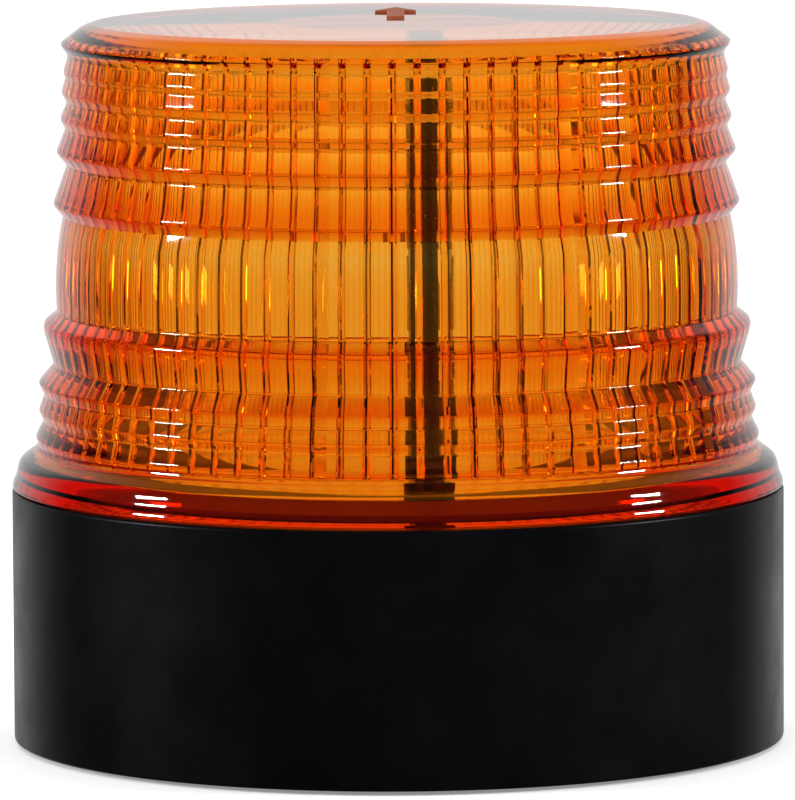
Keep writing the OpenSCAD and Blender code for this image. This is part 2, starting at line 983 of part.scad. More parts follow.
module tower_leads() {
    on_led_board = (sink_t + board_t) / 2;
    lead_pair([
        [tower_x, grommet_at[1] - 1, led_board_z - 0.1, on_led_board],
        [tower_x, grommet_at[1], deck_top + 3, lead_gap + 0.1],
        [tower_x, grommet_at[1], deck_under - 1, lead_gap],
        [tower_x, grommet_at[1] - 1.2, wire_z + 1, lead_gap],
        [connectors[0][0], 22.4, wire_z, lead_gap],
        [connectors[0][0], 19, wire_z, lead_gap]
    ]);
}

module battery_leads() {
    tab_x = tray_x - tray_wall + lead_d / 2 + 0.05;
    color([0.8, 0.1, 0.1])
        for (end = [0, 180])
            rotate([0, 0, end])
                lead_wire([
                    [tab_x, -cell_pitch, cell_z + 4], [tab_x + 1.5, -cell_pitch, cell_z + 8],
                    [tab_x + 3.5, -14, control_z], [36, -9.6, wire_z - 0.3],
                    [33, -8 - lead_gap, wire_z], [28, -8 - lead_gap, wire_z]
                ], lead_d, [0, 1, 0]);
}

module switch_leads() {
    lead_pair([
        [switch_post_x, switch_board_y - lead_start, panel_z, lead_gap],
        [switch_post_x, 44.4, panel_z + 0.6, lead_gap],
        [switch_post_x, 38, panel_z + 10, lead_gap],
        [connectors[3][0], 30, wire_z - 0.6, lead_gap],
        [connectors[3][0], 24, wire_z, lead_gap],
        [connectors[3][0], 19, wire_z, lead_gap]
    ]);
}

module charge_leads() {
    lead_pair([
        [socket_x, socket_y - lead_start, panel_z, lead_gap],
        [socket_x, 44, panel_z + 0.6, lead_gap],
        [socket_x + 1, 38, panel_z + 10, lead_gap],
        [connectors[4][0], 30, wire_z - 0.6, lead_gap],
        [connectors[4][0], 24, wire_z, lead_gap],
        [connectors[4][0], 19, wire_z, lead_gap]
    ]);
}

module lens_cavity() {
    ceiling_z = at_lens(inner_wall[len(inner_wall) - 1])[1];
    rotate_extrude()
        polygon(concat(
            [[0, spigot_z - past], [base_r - inset_1, spigot_z - past]],
            [for (point = inner_wall) at_lens(point)],
            [[0, ceiling_z]]
        ));
}

// A generic raised arrow on the top, which points towards the controls
module top_arrow() {
    arrow_l = 25;
    head_l = 9;
    head_w = 7;
    shaft_w = 3;
    translate([0, 7, base_h + lens_h - crown])
        linear_extrude(crown + 0.1)
            polygon([
                [shaft_w / 2, 0], [shaft_w / 2, arrow_l - head_l], [head_w / 2, arrow_l - head_l],
                [0, arrow_l],
                [-head_w / 2, arrow_l - head_l], [-shaft_w / 2, arrow_l - head_l], [-shaft_w / 2, 0]
            ]);
}

module lens() {
    color(amber)
        difference() {
            union() {
                rotate_extrude()
                    polygon(lens_outline());
                translate([0, 0, spigot_z])
                    cylinder(r = spigot_r, h = base_h + 1 - spigot_z);
                around(lug_count)
                    thread_piece(spigot_r - join, lug_r, lug_z, lug_t, lug_half);
                top_arrow();
            }
            lens_cavity();
        }
}

module lens_seal() {
    color(rubber)
        rotate_extrude()
            translate([seal_r, base_h - seal_d / 2])
                circle(d = seal_d);
}

base_shell();
bottom_plate();
bottom_seal();
bottom_screws();
foot_ring();
magnet(1);  // magnet_1
magnet(2);  // magnet_2
magnet(3);  // magnet_3
magnet(4);  // magnet_4
battery_tray();
battery_cell(1);  // battery_cell_1
battery_cell(2);  // battery_cell_2
battery_cell(3);  // battery_cell_3
battery_contacts();
battery_clip();
tray_screws();
deck_plate();
control_board();
driver_chips();
driver_coil();
driver_capacitors();
board_connectors();
board_screws();
switch_board();
push_switch(power_x);  // power_switch
push_switch(mode_x);  // mode_switch
switch_screws();
push_button(power_x);  // power_button
plunger(power_x);  // power_plunger
push_button(mode_x);  // mode_button
plunger(mode_x);  // mode_plunger
charge_socket();
socket_nut();
port_cover();
cover_pin();
charge_light();
tower_foot();
tower_screws();
heat_sink();
led_board(-1);  // led_board_left
led_board(1);  // led_board_right
leds(-1);  // leds_left
leds(1);  // leds_right
plate_screws();
wire_grommet();
tower_leads();
battery_leads();
switch_leads();
charge_leads();
lens();
lens_seal();
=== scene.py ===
import json
import math

import bmesh
import bpy
from mathutils import Matrix, Vector


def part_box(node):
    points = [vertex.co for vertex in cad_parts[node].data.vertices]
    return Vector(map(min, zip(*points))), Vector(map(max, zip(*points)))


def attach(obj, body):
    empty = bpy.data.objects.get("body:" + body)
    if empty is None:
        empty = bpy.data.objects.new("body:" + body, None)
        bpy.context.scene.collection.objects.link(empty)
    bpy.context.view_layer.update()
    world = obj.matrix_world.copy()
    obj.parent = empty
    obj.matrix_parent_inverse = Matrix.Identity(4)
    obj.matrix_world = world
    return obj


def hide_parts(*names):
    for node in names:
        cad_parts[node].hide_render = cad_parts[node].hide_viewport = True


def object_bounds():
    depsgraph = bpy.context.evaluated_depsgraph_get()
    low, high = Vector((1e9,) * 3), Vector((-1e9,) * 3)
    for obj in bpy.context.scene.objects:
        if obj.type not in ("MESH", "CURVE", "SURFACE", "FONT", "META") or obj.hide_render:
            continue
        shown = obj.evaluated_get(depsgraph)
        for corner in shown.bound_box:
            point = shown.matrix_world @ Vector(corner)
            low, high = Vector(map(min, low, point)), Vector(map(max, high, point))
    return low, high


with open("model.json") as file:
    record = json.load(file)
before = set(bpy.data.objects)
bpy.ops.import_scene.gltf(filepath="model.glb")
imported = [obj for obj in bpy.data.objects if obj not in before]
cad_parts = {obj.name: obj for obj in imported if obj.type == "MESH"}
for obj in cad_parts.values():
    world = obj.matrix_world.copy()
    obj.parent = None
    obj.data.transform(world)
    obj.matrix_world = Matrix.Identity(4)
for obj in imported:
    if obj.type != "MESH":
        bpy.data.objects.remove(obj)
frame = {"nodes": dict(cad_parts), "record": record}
CAD_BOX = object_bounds()

# --- Sizes, in metres, from the frame -------------------------------------------------

MM = 0.001
SHELL_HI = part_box("base_shell")[1]
LENS_LO, LENS_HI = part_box("lens")
BASE_R = round(SHELL_HI.x, 3)
BASE_TOP = SHELL_HI.z
LENS_TOP = LENS_HI.z
MIDDLE = (CAD_BOX[0] + CAD_BOX[1]) / 2


# --- Camera ---------------------------------------------------------------------------

def make_camera():
    """A long lens from the front, slightly above the beacon, as the object is seen."""
    distance = 21.7 * BASE_R
    height = 3.23 * BASE_R
    aim = Vector((0, 0, 57.3 * MM))
    lean_deg = -0.3
    data = bpy.data.cameras.new("camera")
    data.sensor_width = 36
    data.lens = 379
    camera = bpy.data.objects.new("camera", data)
    bpy.context.scene.collection.objects.link(camera)
    camera.location = (0, -distance, height)
    facing = (aim - camera.location).to_track_quat("-Z", "Y").to_matrix()
    roll = Matrix.Rotation(math.radians(lean_deg), 3, "Z")
    camera.rotation_euler = (facing @ roll).to_euler()
    data.clip_start = 0.05
    data.clip_end = 40
    bpy.context.scene.camera = camera


# --- Meshes ---------------------------------------------------------------------------

def object_from(shape, name, material, smooth_deg=32):
    """A bmesh, which is freed, as an object; edges sharper than smooth_deg stay crisp."""
    mesh = bpy.data.meshes.new(name)
    bmesh.ops.recalc_face_normals(shape, faces=shape.faces)
    shape.to_mesh(mesh)
    shape.free()
    mesh.materials.append(material)
    mesh.shade_smooth()
    mesh.set_sharp_from_angle(angle=math.radians(smooth_deg))
    piece = bpy.data.objects.new(name, mesh)
    bpy.context.scene.collection.objects.link(piece)
    return piece


def make_object(name, vertices, faces, material, smooth_deg=32):
    """Vertices and faces as an object."""
    draft = bpy.data.meshes.new(name)
    draft.from_pydata(vertices, [], faces)
    shape = bmesh.new()
    shape.from_mesh(draft)
    bpy.data.meshes.remove(draft)
    return object_from(shape, name, material, smooth_deg)


def rounded(points, radius, steps=3):
    """The open outline with its inner corners rounded to about radius."""
    out = [points[0]]
    for before, corner, after in zip(points, points[1:], points[2:]):
        b, c, a = Vector(before), Vector(corner), Vector(after)
        reach = min(radius, (b - c).length * 0.45, (a - c).length * 0.45)
        start = c + (b - c).normalized() * reach
        end = c + (a - c).normalized() * reach
        for i in range(steps + 1):
            t = i / steps
            out.append(tuple(start.lerp(c, t).lerp(c.lerp(end, t), t)))
    out.append(points[-1])
    return out


def revolve(rows, angles, radius_at=None):
    """Vertices and faces of an outline of (radius, height) rows turned round +Z.

    A first or last row at radius 0 closes with a fan, and otherwise the outline is a loop.
    radius_at(row index, radius, angle) may change a vertex's radius."""
    count = len(angles)
    capped = rows[0][0] == 0
    body = rows[1:-1] if capped else rows
    first = 1 if capped else 0
    vertices = []
    for index, (r, z) in enumerate(body):
        for a in angles:
            here = radius_at(index + first, r, a) if radius_at else r
            vertices.append((here * math.cos(a), here * math.sin(a), z))
    faces = []
    bands = len(body) - 1 if capped else len(body)
    for j in range(bands):
        low, high = j * count, (j + 1) % len(body) * count
        for i in range(count):
            k = (i + 1) % count
            faces.append((low + i, low + k, high + k, high + i))
    if capped:
        for row, ring, flip in ((rows[0], 0, True), (rows[-1], len(body) - 1, False)):
            centre = len(vertices)
            vertices.append((0, 0, row[1]))
            for i in range(count):
                a, b = ring * count + i, ring * count + (i + 1) % count
                faces.append((b, a, centre) if flip else (a, b, centre))
    return vertices, faces


def even_angles(count):
    """Angles evenly round a full turn."""
    return [2 * math.pi * i / count for i in range(count)]


# --- Materials ------------------------------------------------------------------------

class Shader:
    """A material with a Principled node and short calls for its procedural nodes."""

    def __init__(self, name, colour, roughness=0.5, metallic=0.0):
        self.material = bpy.data.materials.new(name)
        self.material.use_nodes = True
        self.nodes = self.material.node_tree.nodes
        self.links = self.material.node_tree.links
        self.main = self.nodes["Principled BSDF"]
        self.set("Base Color", (*colour, 1))
        self.set("Roughness", roughness)
        self.set("Metallic", metallic)

    def set(self, socket, value):
        """A plain value on the Principled node."""
        self.main.inputs[socket].default_value = value

    def join(self, source, target):
        """A link between two sockets."""
        self.links.new(source, target)

    def place(self, stretch=(1, 1, 1)):
        """Object coordinates, stretched along each axis."""
        coord = self.nodes.new("ShaderNodeTexCoord")
        mapping = self.nodes.new("ShaderNodeMapping")
        mapping.inputs["Scale"].default_value = stretch
        self.join(coord.outputs["Object"], mapping.inputs["Vector"])
        return mapping.outputs["Vector"]

    def noise(self, scale, detail=4.0, stretch=(1, 1, 1)):
        """Soft noise from 0 to 1, with scale cells to the metre."""
        node = self.nodes.new("ShaderNodeTexNoise")
        node.inputs["Scale"].default_value = scale
        node.inputs["Detail"].default_value = detail
        node.inputs["Roughness"].default_value = 0.55
        self.join(self.place(stretch), node.inputs["Vector"])
        return node.outputs["Fac"]

    def cells(self, scale):
        """Distance to the middle of the nearest of many scattered cells."""
        node = self.nodes.new("ShaderNodeTexVoronoi")
        node.inputs["Scale"].default_value = scale
        self.join(self.place(), node.inputs["Vector"])
        return node.outputs["Distance"]

    def ramp(self, factor, stops):
        """A colour ramp: stops of (position, grey or colour)."""
        node = self.nodes.new("ShaderNodeValToRGB")
        ramp = node.color_ramp
        while len(ramp.elements) < len(stops):
            ramp.elements.new(0.5)
        for element, (position, colour) in zip(ramp.elements, stops):
            element.position = position
            shade = (colour,) * 3 if isinstance(colour, (int, float)) else colour
            element.color = (*shade, 1)
        self.join(factor, node.inputs["Fac"])
        return node.outputs["Color"]

    def mix(self, factor, a, b):
        """A colour mix; a and b are colours or sockets."""
        node = self.nodes.new("ShaderNodeMix")
        node.data_type = "RGBA"
        self.join(factor, node.inputs["Factor"])
        for socket, value in ((node.inputs["A"], a), (node.inputs["B"], b)):
            if isinstance(value, tuple):
                socket.default_value = (*value, 1)
            else:
                self.join(value, socket)
        return node.outputs["Result"]

    def vary(self, colour_a, colour_b, scale, detail=4.0, stretch=(1, 1, 1)):
        """Base colour that drifts between two colours."""
        factor = self.ramp(self.noise(scale, detail, stretch), [(0.35, 0), (0.65, 1)])
        colour = self.mix(factor, colour_a, colour_b)
        self.join(colour, self.main.inputs["Base Color"])
        return colour

    def rough_between(self, low, high, scale, detail=5.0, stretch=(1, 1, 1)):
        """Roughness that drifts between two values."""
        grey = self.ramp(self.noise(scale, detail, stretch), [(0.3, low), (0.7, high)])
        self.join(grey, self.main.inputs["Roughness"])

    def bump(self, height, strength, distance):
        """Fine relief from a height, on top of any earlier relief."""
        node = self.nodes.new("ShaderNodeBump")
        node.inputs["Strength"].default_value = strength
        node.inputs["Distance"].default_value = distance
        self.join(height, node.inputs["Height"])
        last = self.main.inputs["Normal"]
        if last.is_linked:
            self.join(last.links[0].from_socket, node.inputs["Normal"])
        self.join(node.outputs["Normal"], last)

    def edges(self, radius):
        """1 along sharp edges, falling to 0 on flat faces."""
        bevel = self.nodes.new("ShaderNodeBevel")
        bevel.samples = 4
        bevel.inputs["Radius"].default_value = radius
        turned = self.nodes.new("ShaderNodeVectorMath")
        turned.operation = "DOT_PRODUCT"
        self.join(bevel.outputs["Normal"], turned.inputs[0])
        self.join(self.nodes.new("ShaderNodeNewGeometry").outputs["Normal"], turned.inputs[1])
        return self.ramp(turned.outputs["Value"], [(0.86, 1), (0.985, 0)])

    def wear(self, colour, worn, radius, scale):
        """Rubs the edges to another colour, in patches."""
        patches = self.nodes.new("ShaderNodeMath")
        patches.operation = "MULTIPLY"
        self.join(self.edges(radius), patches.inputs[0])
        self.join(self.ramp(self.noise(scale, detail=5), [(0.42, 0), (0.6, 1)]), patches.inputs[1])
        mixed = self.mix(patches.outputs["Value"], colour, worn)
        self.join(mixed, self.main.inputs["Base Color"])


def amber_plastic():
    """Clear amber polycarbonate: thin walls glow orange and long paths go deep red."""
    s = Shader("amber_polycarbonate", (0.94, 0.95, 0.9), 0.02)
    s.set("Transmission Weight", 1.0)
    s.set("IOR", 1.52)
    s.vary((0.93, 0.94, 0.86), (0.95, 0.98, 0.95), 60)
    s.rough_between(0.012, 0.05, 180)
    s.bump(s.noise(45, detail=2), strength=0.12, distance=0.4 * MM)
    kept_by_colour = (0.984, 0.77, 0.2, 1)
    per_metre = 1400
    absorb = s.nodes.new("ShaderNodeVolumeAbsorption")
    absorb.inputs["Color"].default_value = kept_by_colour
    absorb.inputs["Density"].default_value = per_metre
    s.join(absorb.outputs["Volume"], s.nodes["Material Output"].inputs["Volume"])
    return s.material


def black_housing():
    """Black ABS with a fine moulded grain and faint handling marks."""
    s = Shader("black_housing", (0.002, 0.002, 0.003), 0.4)
    s.set("Specular IOR Level", 0.1)
    s.vary((0.0012, 0.0012, 0.002), (0.0026, 0.0026, 0.0036), 35)
    s.rough_between(0.26, 0.4, 90)
    s.bump(s.noise(2600, detail=2), strength=0.25, distance=0.05 * MM)
    s.bump(s.noise(30, detail=3), strength=0.1, distance=0.4 * MM)
    return s.material


def deck_finish():
    """The deck: a metallised mirror disc, with a faint ripple, inside a grey moulded rim."""
    s = Shader("deck_reflector", (0.95, 0.94, 0.92), 0.12, 1.0)
    radius = s.nodes.new("ShaderNodeVectorMath")
    radius.operation = "LENGTH"
    disc_r, fade = 41.5 * MM, 0.5 * MM
    to_ramp = 10
    s.join(s.place((to_ramp, to_ramp, 0)), radius.inputs[0])
    disc = s.ramp(radius.outputs["Value"], [(to_ramp * disc_r, 1), (to_ramp * (disc_r + fade), 0)])
    drift = s.noise(40)
    mirror = s.mix(drift, (0.9, 0.89, 0.87), (0.97, 0.96, 0.95))
    rim = s.mix(drift, (0.17, 0.17, 0.17), (0.27, 0.27, 0.26))
    s.join(s.mix(disc, rim, mirror), s.main.inputs["Base Color"])
    s.join(disc, s.main.inputs["Metallic"])
    s.join(s.mix(disc, (0.5, 0.5, 0.5), (0.1, 0.1, 0.1)), s.main.inputs["Roughness"])
    s.bump(s.noise(25, detail=2), strength=0.08, distance=0.4 * MM)
    return s.material


def shaded(colour, amount):
    """A colour made darker or lighter by a factor."""
    return tuple(amount * c for c in colour)


def moulded(name, colour, roughness, grain=1800, specular=0.4):
    """Moulded plastic or rubber: a fine grain, shallow sinks and edges rubbed paler."""
    s = Shader(name, colour, roughness)
    s.set("Specular IOR Level", specular)
    drift = s.vary(shaded(colour, 0.78), colour, 180)
    worn_grey, rubbed = 0.6, 0.12
    paler = tuple(c + rubbed * max(0, worn_grey - c) for c in colour)
    s.wear(drift, paler, 0.35 * MM, 700)
    s.rough_between(max(0.05, roughness - 0.1), min(1, roughness + 0.12), 260)
    s.bump(s.noise(grain, detail=3), strength=0.3, distance=0.06 * MM)
    s.bump(s.noise(90, detail=2), strength=0.12, distance=0.2 * MM)
    return s.material


def metal(name, colour, roughness, grain=(1, 1, 1)):
    """Plated or anodised metal: lines along its grain, dull patches and bright edges."""
    s = Shader(name, colour, roughness, 1.0)
    drift = s.vary(shaded(colour, 0.72), colour, 240)
    polished = tuple(min(1, 1.25 * c + 0.03) for c in colour)
    s.wear(drift, polished, 0.25 * MM, 900)
    s.rough_between(0.65 * roughness, 1.5 * roughness, 300, 6, grain)
    s.bump(s.noise(1400, 3, grain), strength=0.25, distance=0.03 * MM)
    return s.material


def circuit_board(name, mask, trace):
    """Glossy solder mask over slightly raised copper tracks, with plated holes."""
    s = Shader(name, mask, 0.25)
    axes = s.nodes.new("ShaderNodeSeparateXYZ")
    s.join(s.place(), axes.inputs["Vector"])
    flat = s.nodes.new("ShaderNodeCombineXYZ")
    for axis in "XY":
        total = s.nodes.new("ShaderNodeMath")
        s.join(axes.outputs[axis], total.inputs[0])
        s.join(axes.outputs["Z"], total.inputs[1])
        s.join(total.outputs["Value"], flat.inputs[axis])
    tracks = s.nodes.new("ShaderNodeTexBrick")
    for socket, value in (("Scale", 150), ("Mortar Size", 0.035), ("Mortar Smooth", 0.1)):
        tracks.inputs[socket].default_value = value
    s.join(flat.outputs["Vector"], tracks.inputs["Vector"])
    on_track = s.ramp(tracks.outputs["Fac"], [(0.3, 0), (0.6, 1)])
    tinted = s.mix(on_track, mask, trace)
    holes = s.ramp(s.cells(420), [(0.1, 1), (0.13, 0)])
    plated = (0.55, 0.5, 0.4)
    s.join(s.mix(holes, tinted, plated), s.main.inputs["Base Color"])
    s.rough_between(0.16, 0.36, 200)
    s.bump(on_track, strength=0.3, distance=0.06 * MM)
    return s.material


def clear_pipe():
    """Clear acrylic rod, polished, with faint flow marks."""
    s = Shader("clear_acrylic", (0.9, 0.97, 0.93), 0.08)
    s.set("Transmission Weight", 0.85)
    s.set("IOR", 1.49)
    s.vary((0.82, 0.93, 0.88), (0.93, 0.98, 0.95), 200)
    s.rough_between(0.04, 0.15, 400)
    s.bump(s.noise(350, detail=3), strength=0.15, distance=0.1 * MM)
    return s.material


def shrink_wrap():
    """Glossy printed film, drawn tight with fine creases along the cell."""
    s = Shader("shrink_wrap", (0.02, 0.12, 0.4), 0.22)
    drift = s.vary((0.014, 0.09, 0.32), (0.025, 0.14, 0.46), 120)
    s.wear(drift, (0.2, 0.3, 0.5), 0.3 * MM, 500)
    s.rough_between(0.14, 0.32, 200)
    s.bump(s.noise(260, 3, (0.15, 1, 1)), strength=0.3, distance=0.1 * MM)
    return s.material


# --- Lens -----------------------------------------------------------------------------

FLUTES = 84
TOP_MIDDLE_R = 20 * MM
# The lens from the bottom up, as (inset from the base's radius, height above the base), in mm
FLANGE = [
    (0.1, 0.3), (0.1, 0.8), (0.3, 1.5), (0.75, 2.5), (0.95, 3.5),
    (1.15, 4.3), (1.6, 5.1), (3.1, 6.15), (4.6, 7.4),
]
LOW_RINGS = [(4.05, 8.9), (5.4, 11.6), (4.6, 13.4), (5.6, 16), (4.6, 18), (7.2, 21.1)]
FLARED_RING = [(5.6, 26.6), (5.5, 27.5), (5.8, 28.3), (7.8, 29.9)]
LOUVRES = [
    (7.3, 48), (9.7, 54.6), (7.9, 56.7), (9.5, 60.7), (8.6, 62.3),
    (9.8, 65.1), (8.85, 66.7), (9.6, 69.2), (9.2, 70.1), (9.95, 72.6),
]
TOP_EDGE = [(9.8, 73.4), (9, 74.4), (8.85, 75), (12.3, 77.6), (14.1, 78.2)]
# The inside: over the solid flange and along the back of its slope, then the fluted wall
WINDOW = [(7.4, 3.4), (3.5, 4.1), (6.4, 6.4), (7.4, 8)]
FLUTED_WALL = [(7.4, 8.2), (7.4, 14.5), (9.55, 21.5), (9.55, 43), (11.6, 49), (11.6, 74.6)]
CEILING = [(11.6, 74.8), (13.2, 75.9), (14.7, 76.4)]


def at_lens(point):
    """A point of those lists as (radius, height) in metres."""
    return (BASE_R - point[0] * MM, BASE_TOP + point[1] * MM)


def lens_outside():
    """The outside of the lens from the centre of its flat top down under the flange."""
    top = at_lens(TOP_EDGE[-1])[1]
    rim_inset = 14.9
    bulge_inset, bulge_height, bulge_curve = 7.65, 34, 0.009
    bulge = [
        at_lens((bulge_inset + bulge_curve * (h - bulge_height) ** 2, h))
        for h in range(46, 30, -3)
    ]
    middle = (TOP_MIDDLE_R, top)
    rim = (at_lens((rim_inset, 0))[0], top)
    flange = [at_lens(p) for p in reversed(FLANGE)]
    rings = [at_lens(p) for p in reversed([*LOUVRES, *TOP_EDGE])]
    flared = [at_lens(p) for p in reversed(FLARED_RING)]
    low = [at_lens(p) for p in reversed(LOW_RINGS)]
    under = (BASE_R - 1.5 * MM, flange[-1][1])
    upper = rounded([middle, rim, *rings, bulge[0]], 0.5 * MM)
    lower = rounded([bulge[-1], *flared, *low, *flange, under], 0.4 * MM)
    return [(0, top), *upper[:-1], *bulge, *lower[1:]]


def spigot_outline():
    """Under the flange, round the spigot that drops into the base's neck, and inside it
    over the solid flange to the foot of the flutes."""
    spigot_r = BASE_R - 5.4 * MM
    inside_r = spigot_r - 2 * MM
    under = LENS_LO.z
    return rounded([
        (spigot_r, BASE_TOP + 0.3 * MM), (spigot_r, under), (inside_r, under),
        *[at_lens(p) for p in WINDOW],
    ], 0.4 * MM)


def make_lens(material):
    """The whole moulding as one closed mesh, with prismatic flutes on its inside wall."""
    panel, side = 0.7, 0.07  # shares of a flute's pitch
    ridge_depth = 0.45 * MM
    ridge_crown = 0.15 * MM
    scallop = 0.13 * MM
    places = [0, panel / 2, panel, panel + side, (1 + panel) / 2, 1 - side]
    angles = [2 * math.pi * (i + t) / FLUTES for i in range(FLUTES) for t in places]

    outside = lens_outside()
    spigot = spigot_outline()
    wall = [at_lens(p) for p in FLUTED_WALL]
    ceiling = [at_lens(p) for p in CEILING]
    ceiling_z = ceiling[-1][1]
    rows = [*outside, *spigot, *wall, *ceiling, (TOP_MIDDLE_R, ceiling_z), (0, ceiling_z)]
    first_fluted = len(outside) + len(spigot)
    fluted = range(first_fluted, first_fluted + len(wall))

    def radius_at(row, r, angle):
        if row not in fluted:
            return r
        t = angle * FLUTES / (2 * math.pi) % 1
        if t <= panel + 1e-9:
            u = t / panel
            return r + scallop * 4 * u * (1 - u)
        on_crown = abs(t - (1 + panel) / 2) < side / 2
        return r - ridge_depth - (ridge_crown if on_crown else 0)

    vertices, faces = revolve(rows, angles, radius_at)
    lens = make_object("lens_moulding", vertices, faces, material, smooth_deg=24)
    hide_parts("lens")
    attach(lens, "lens")


def make_top_arrow(material):
    """A plain raised arrow on the lens, just clear of its flat top."""
    start, length, head = 7 * MM, 25 * MM, 9 * MM
    shaft, wing = 1.5 * MM, 3.5 * MM
    clear = 0.02 * MM
    low = at_lens(TOP_EDGE[-1])[1] + clear
    high = LENS_TOP
    outline = [
        (shaft, start), (shaft, start + length - head), (wing, start + length - head),
        (0, start + length),
        (-wing, start + length - head), (-shaft, start + length - head), (-shaft, start),
    ]
    shape = bmesh.new()
    bottom = [shape.verts.new((x, y, low)) for x, y in outline]
    top = [shape.verts.new((x, y, high)) for x, y in outline]
    shape.faces.new(top)
    shape.faces.new(list(reversed(bottom)))
    for i in range(len(outline)):
        k = (i + 1) % len(outline)
        shape.faces.new((bottom[i], bottom[k], top[k], top[i]))
    arrow = object_from(shape, "top_arrow", material)
    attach(arrow, "lens")


# --- LEDs on their boards -------------------------------------------------------------

def box_part(shape, lo, hi, bevel):
    """Adds a box with bevelled edges to a bmesh."""
    size = [h - l for l, h in zip(lo, hi)]
    middle = [(l + h) / 2 for l, h in zip(lo, hi)]
    place = Matrix.Translation(middle) @ Matrix.Diagonal((*size, 1))
    made = bmesh.ops.create_cube(shape, size=1, matrix=place)
    edges = list({e for v in made["verts"] for e in v.link_edges})
    bmesh.ops.bevel(shape, geom=edges, offset=bevel, segments=2, profile=0.5, affect="EDGES")


def separate_boxes(node):
    """The box of each separate block of a node's mesh, as its low and high corners."""
    shape = bmesh.new()
    shape.from_mesh(frame["nodes"][node].data)
    bmesh.ops.remove_doubles(shape, verts=shape.verts, dist=0.01 * MM)
    left = set(shape.verts)
    boxes = []
    while left:
        group, reach = set(), [left.pop()]
        while reach:
            v = reach.pop()
            group.add(v)
            for e in v.link_edges:
                other = e.other_vert(v)
                if other in left:
                    left.remove(other)
                    reach.append(other)
        lo = [min(v.co[k] for v in group) for k in range(3)]
        hi = [max(v.co[k] for v in group) for k in range(3)]
        boxes.append((Vector(lo), Vector(hi)))
    shape.free()
    return boxes


def make_leds(node, side, body_material, phosphor):
    """Surface-mount LEDs: a pale frame round a domed phosphor window.

    side is 1 for the boards' +X face and -1 for the -X face."""
    frames, windows = bmesh.new(), bmesh.new()
    rim, bevel = 0.75 * MM, 0.08 * MM
    dome_rise = 0.8
    for lo, hi in separate_boxes(node):
        foot = lo.x if side > 0 else hi.x
        for y0, y1 in ((lo.y, lo.y + rim), (hi.y - rim, hi.y)):
            box_part(frames, (lo.x, y0, lo.z), (hi.x, y1, hi.z), bevel)
        for z0, z1 in ((lo.z, lo.z + rim), (hi.z - rim, hi.z)):
            box_part(frames, (lo.x, lo.y + rim, z0), (hi.x, hi.y - rim, z1), bevel)
        centre = Vector((foot, (lo.y + hi.y) / 2, (lo.z + hi.z) / 2))
        radius = (hi.y - lo.y) / 2 - rim
        stretch = Matrix.Diagonal((dome_rise * (hi.x - lo.x), radius, radius, 1))
        dome = Matrix.Translation(centre) @ stretch
        bmesh.ops.create_icosphere(windows, subdivisions=3, radius=1, matrix=dome)
    packages = object_from(frames, node + "_packages", body_material)
    domes = object_from(windows, node + "_phosphor", phosphor)
    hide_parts(node)
    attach(packages, "base")
    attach(domes, "base")


# --- Battery --------------------------------------------------------------------------

def make_cell(index, wrap_material, can_material):
    """A round cell along X: a steel can with a crimped positive end, in shrink wrap."""
    node = f"battery_cell_{index}"
    lo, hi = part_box(node)
    facing = 1 if index % 2 == 0 else -1
    r = (hi.y - lo.y) / 2
    half = (hi.x - lo.x) / 2
    shoulder = half - 1.2 * MM
    crimp, groove = shoulder - 3.4 * MM, 0.6 * MM
    centre = Vector(((lo.x + hi.x) / 2, (lo.y + hi.y) / 2, (lo.z + hi.z) / 2))
    can_r, lip, dish = r - 0.25 * MM, 2 * MM, 0.5 * MM
    cap_r = 3.2 * MM
    can = rounded([
        (0, -half), (can_r, -half),
        (can_r, crimp - groove), (can_r - 0.8 * MM, crimp), (can_r, crimp + groove),
        (can_r, shoulder), (can_r - lip, shoulder),
        (can_r - 2.2 * MM, shoulder - dish), (cap_r, shoulder - dish),
        (cap_r - 0.1 * MM, half), (0, half),
    ], 0.4 * MM)
    film_r, fold_r = can_r + 0.02 * MM, r - 2.4 * MM
    wrap = rounded([
        (fold_r, -half - 0.055 * MM), (r, -half),
        (r, crimp - groove), (r - 0.5 * MM, crimp), (r, crimp + groove),
        (r, shoulder + 0.1 * MM), (r - lip, shoulder + 0.15 * MM), (r - lip, shoulder),
        (film_r, shoulder - 0.1 * MM), (film_r, -half + 0.1 * MM),
        (fold_r, -half + 0.05 * MM),
    ], 0.3 * MM)
    along = Matrix.Translation(centre) @ Matrix.Rotation(facing * math.pi / 2, 4, "Y")
    for name, rows, material, slot in (
        (node + "_can", can, can_material, "contact_metal"),
        (node + "_wrap", wrap, wrap_material, "cell_wrap"),
    ):
        vertices, faces = revolve(rows, even_angles(72))
        placed = [tuple(along @ Vector(v)) for v in vertices]
        piece = make_object(name, placed, faces, material)
        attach(piece, "base")
        if slot == "cell_wrap":
            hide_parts(node)


# --- Mark on the power button ---------------------------------------------------------

